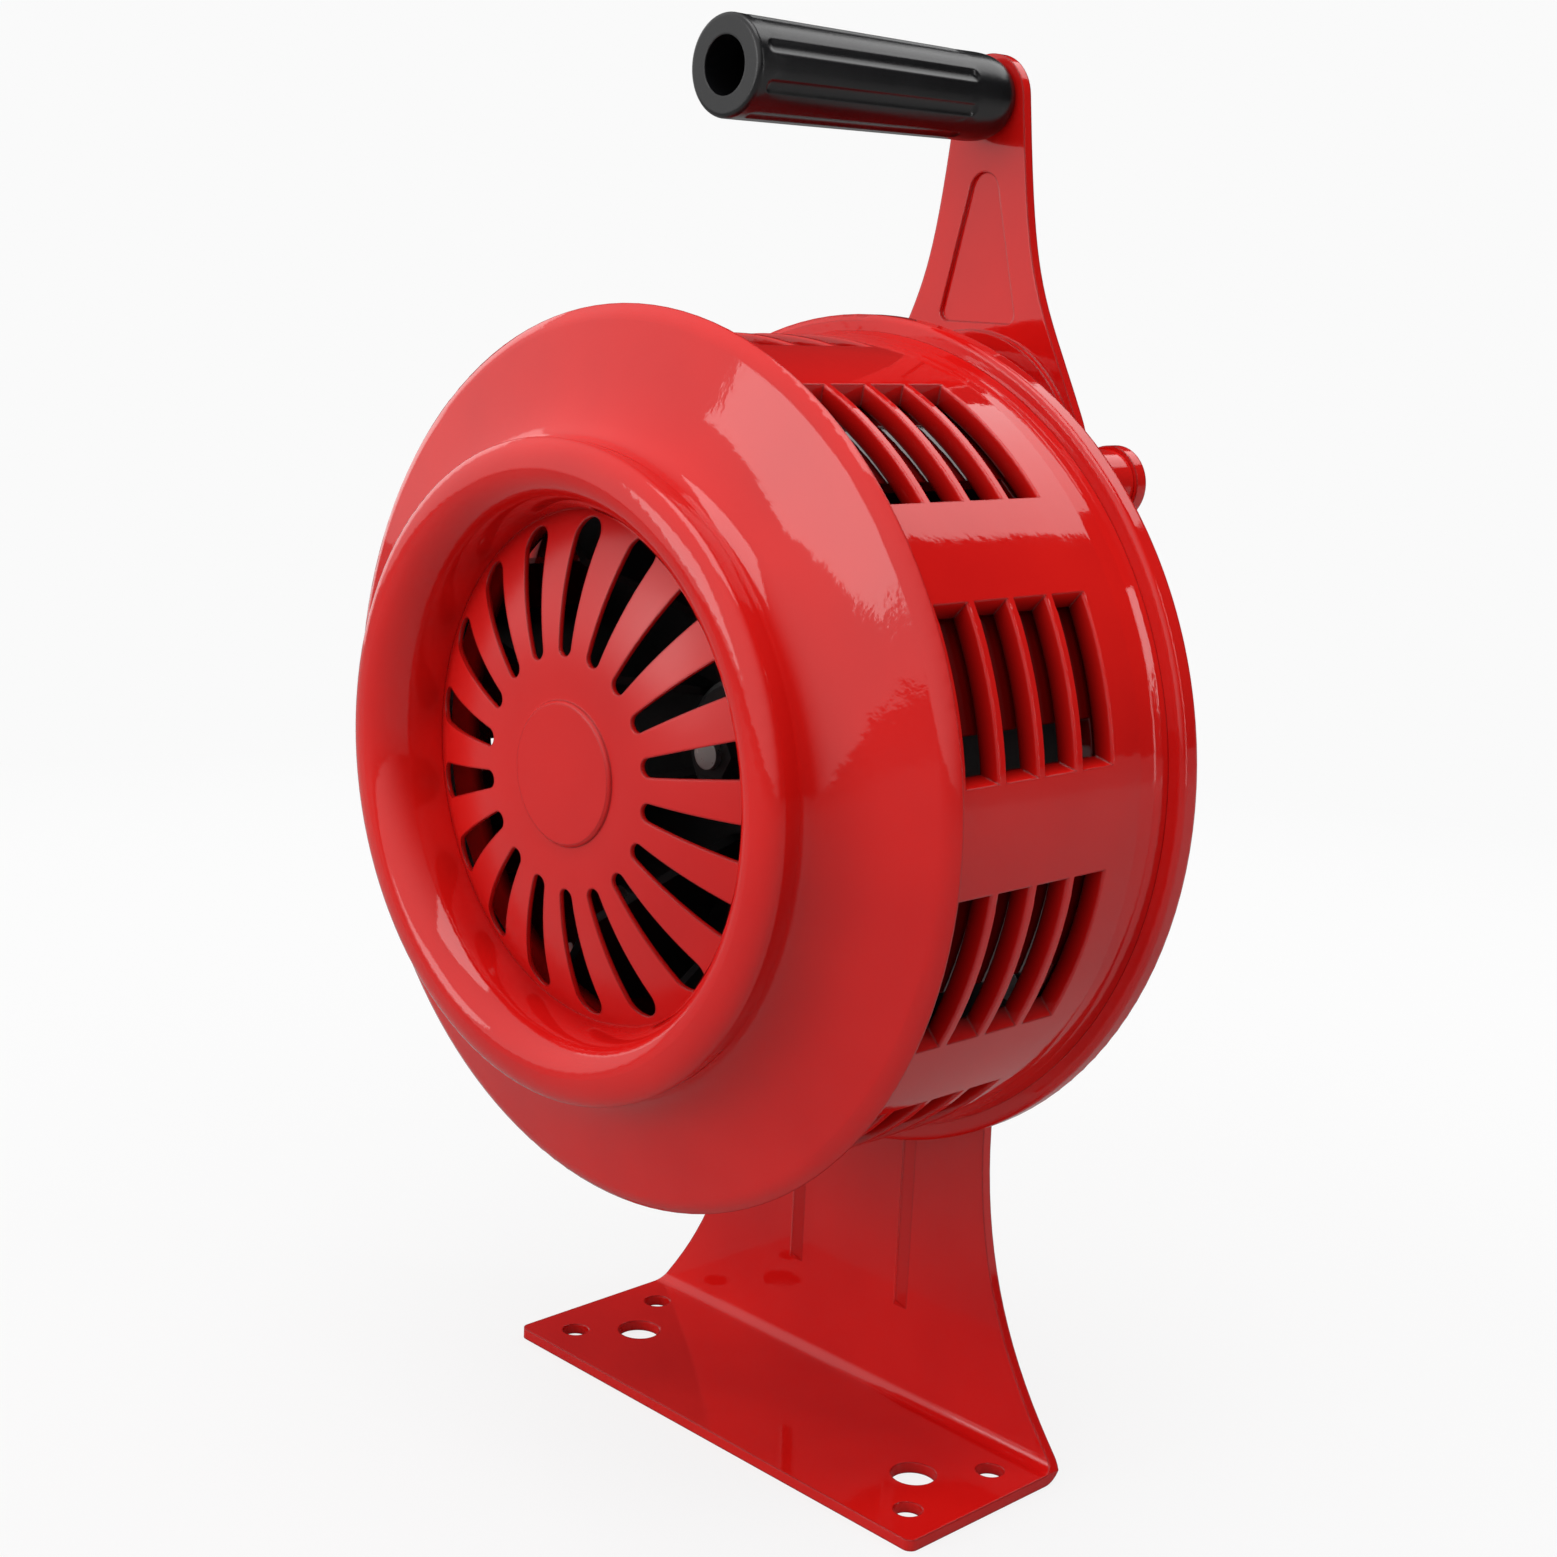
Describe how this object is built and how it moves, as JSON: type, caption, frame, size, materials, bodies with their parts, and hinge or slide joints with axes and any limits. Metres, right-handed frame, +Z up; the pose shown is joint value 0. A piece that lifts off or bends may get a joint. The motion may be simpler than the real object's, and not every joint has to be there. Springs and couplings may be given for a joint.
{
  "type": "hand crank siren",
  "caption": "Hand crank siren: ported drum with a bell mouth and slotted intake grille, geared rotor inside, crank arm with a turning grip behind, on a bent sheet-steel foot.",
  "frame": {"origin": "centre of the four small bolt holes on the foot's underside", "axes": "+Z up out of the foot, -Y the way the bell mouth faces, +X to the right of someone who faces the mouth"},
  "size_m": [0.22, 0.1568, 0.3656],
  "materials": {
    "red_casting": "gloss",
    "red_sheet": "gloss",
    "black_casting": "satin",
    "bronze": "satin",
    "gear_steel": "satin",
    "plated_steel": "satin",
    "black_grip": "satin"
  },
  "bodies": {
    "housing": {"front_bell": "red_casting", "intake_grille": "red_sheet", "grille_ring": "plated_steel", "bell_screws": "plated_steel", "stator_drum": "red_casting", "rear_cover": "red_casting", "rear_cover_screws": "plated_steel", "bearing_circlip": "plated_steel", "bearing_outer_rings": "plated_steel", "bearing_balls": "plated_steel", "idler_pin": "plated_steel", "crank_bush_front": "bronze", "crank_bush_rear": "bronze", "gear_base_plate": "red_sheet", "gear_case": "red_casting", "gear_case_screws": "plated_steel", "bracket_bolts": "plated_steel", "bracket_washers": "plated_steel", "foot_bracket": "red_sheet"},
    "rotor": {"rotor_rim": "red_casting", "rotor_rivets": "plated_steel", "rotor_wheel": "black_casting", "rotor_vanes": "black_casting", "rotor_key": "plated_steel", "rotor_shaft": "plated_steel", "rotor_spacer": "plated_steel", "rotor_washer": "black_casting", "rotor_nut": "black_casting", "bearing_inner_rings": "plated_steel", "rotor_pinion": "gear_steel"},
    "idler": {"idler_gear": "gear_steel", "idler_pinion": "gear_steel"},
    "crank": {"crank_gear": "gear_steel", "crank_key": "plated_steel", "crank_circlip": "plated_steel", "crank_shaft": "plated_steel", "crank_arm": "red_sheet", "crank_washer": "plated_steel", "crank_nut": "plated_steel", "grip_axle": "plated_steel", "grip_washer": "plated_steel", "grip_nut": "plated_steel"},
    "grip": {"grip": "black_grip"}
  },
  "joints": [
    {"name": "rotor_spin", "type": "hinge", "parent": "housing", "child": "rotor", "pos_m": [0, 0.01925, 0.188], "axis": [0, 1, 0], "range_deg": [-1904, 1904]},
    {"name": "idler_spin", "type": "hinge", "parent": "housing", "child": "idler", "pos_m": [0.00523, 0.04225, 0.222], "axis": [0, 1, 0], "range_deg": [-403, 403]},
    {"name": "crank_turn", "type": "hinge", "parent": "housing", "child": "crank", "pos_m": [0, 0.04325, 0.256], "axis": [0, 1, 0], "range_deg": [-85, 85]},
    {"name": "grip_spin", "type": "hinge", "parent": "crank", "child": "grip", "pos_m": [0, 0.04925, 0.3535], "axis": [0, 1, 0], "continuous": true}
  ],
  "couplings": [
    {"joint": "idler_spin", "follows": "rotor_spin", "ratio": -0.21127},
    {"joint": "crank_turn", "follows": "rotor_spin", "ratio": 0.044634}
  ]
}
